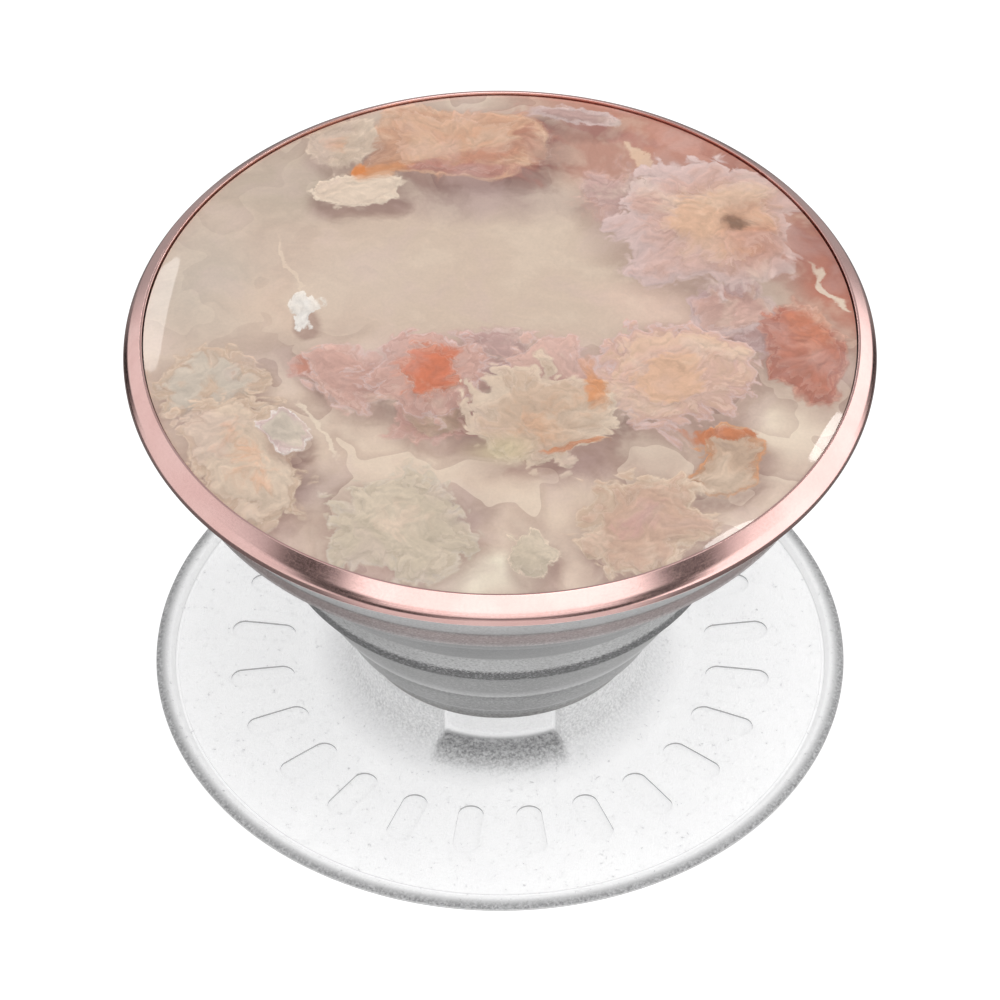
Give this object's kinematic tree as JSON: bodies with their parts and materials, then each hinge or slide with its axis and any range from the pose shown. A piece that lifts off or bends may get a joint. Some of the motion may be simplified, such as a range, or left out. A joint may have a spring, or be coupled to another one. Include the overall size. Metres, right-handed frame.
{
  "type": "collapsible phone grip and stand",
  "caption": "Round stick-on grip whose telescoping accordion collapses flat, with a quarter-turn button faced in polished stone and a rose-gold rim.",
  "frame": {"origin": "centre of the gel pad's underside, where the grip sticks to a device", "axes": "+Z along the axis from the platform towards the stone face; -Y towards the front window in the collar"},
  "size_m": [0.0398, 0.0398, 0.0261],
  "materials": {
    "gel": "tacky translucent grey gel, faint mottling",
    "frosted_plastic": "clear polycarbonate with a fine spark-eroded frost, near white",
    "accordion": "translucent grey elastomer, satin, with moulded rings",
    "hidden_plastic": "natural moulded plastic, satin",
    "button_plastic": "frosted grey moulded plastic",
    "film": "thin clear double-sided film",
    "stone": "polished slice of flowering agate: cream, peach, salmon and grey plumes",
    "resin": "clear glossy domed resin",
    "rose_metal": "polished rose-gold anodised ring with a fine turned grain"
  },
  "bodies": {
    "base": {"adhesive_pad": "gel", "platform": "frosted_plastic", "anchor_plug": "frosted_plastic", "accordion_foot": "accordion", "accordion_web_1": "accordion"},
    "wall_1": {"accordion_wall_1": "accordion", "accordion_web_2": "accordion"},
    "wall_2": {"accordion_wall_2": "accordion", "accordion_web_3": "accordion"},
    "wall_3": {"accordion_wall_3": "accordion", "accordion_web_4": "accordion"},
    "wall_4": {"accordion_wall_4": "accordion", "accordion_web_5": "accordion"},
    "head": {"accordion_head": "accordion", "key_plate": "hidden_plastic"},
    "button": {"twist_key": "hidden_plastic", "button_body": "button_plastic", "bonding_film": "film", "stone_disc": "stone", "resin_dome": "resin", "rim_ring": "rose_metal"}
  },
  "joints": [
    {"name": "wall_1_slide", "type": "slide", "parent": "base", "child": "wall_1", "axis": [0, 0, -1], "range_m": [0, 0.0023], "deforming": ["accordion_web_1"]},
    {"name": "wall_2_slide", "type": "slide", "parent": "wall_1", "child": "wall_2", "axis": [0, 0, -1], "range_m": [0, 0.0036], "deforming": ["accordion_web_2"]},
    {"name": "collapse", "type": "slide", "parent": "wall_2", "child": "wall_3", "axis": [0, 0, -1], "range_m": [0, 0.0043], "deforming": ["accordion_web_3"]},
    {"name": "wall_4_slide", "type": "slide", "parent": "wall_3", "child": "wall_4", "axis": [0, 0, -1], "range_m": [0, 0.0022], "deforming": ["accordion_web_4"]},
    {"name": "head_slide", "type": "slide", "parent": "wall_4", "child": "head", "axis": [0, 0, -1], "range_m": [0, 0.0039], "deforming": ["accordion_web_5"]},
    {"name": "top_twist", "type": "hinge", "parent": "head", "child": "button", "pos_m": [0, 0, 0.0232], "axis": [0, 0, 1], "range_deg": [0, 90]}
  ],
  "couplings": [
    {"joint": "wall_1_slide", "follows": "collapse", "ratio": 0.53488},
    {"joint": "wall_2_slide", "follows": "collapse", "ratio": 0.83721},
    {"joint": "wall_4_slide", "follows": "collapse", "ratio": 0.51163},
    {"joint": "head_slide", "follows": "collapse", "ratio": 0.90698}
  ]
}
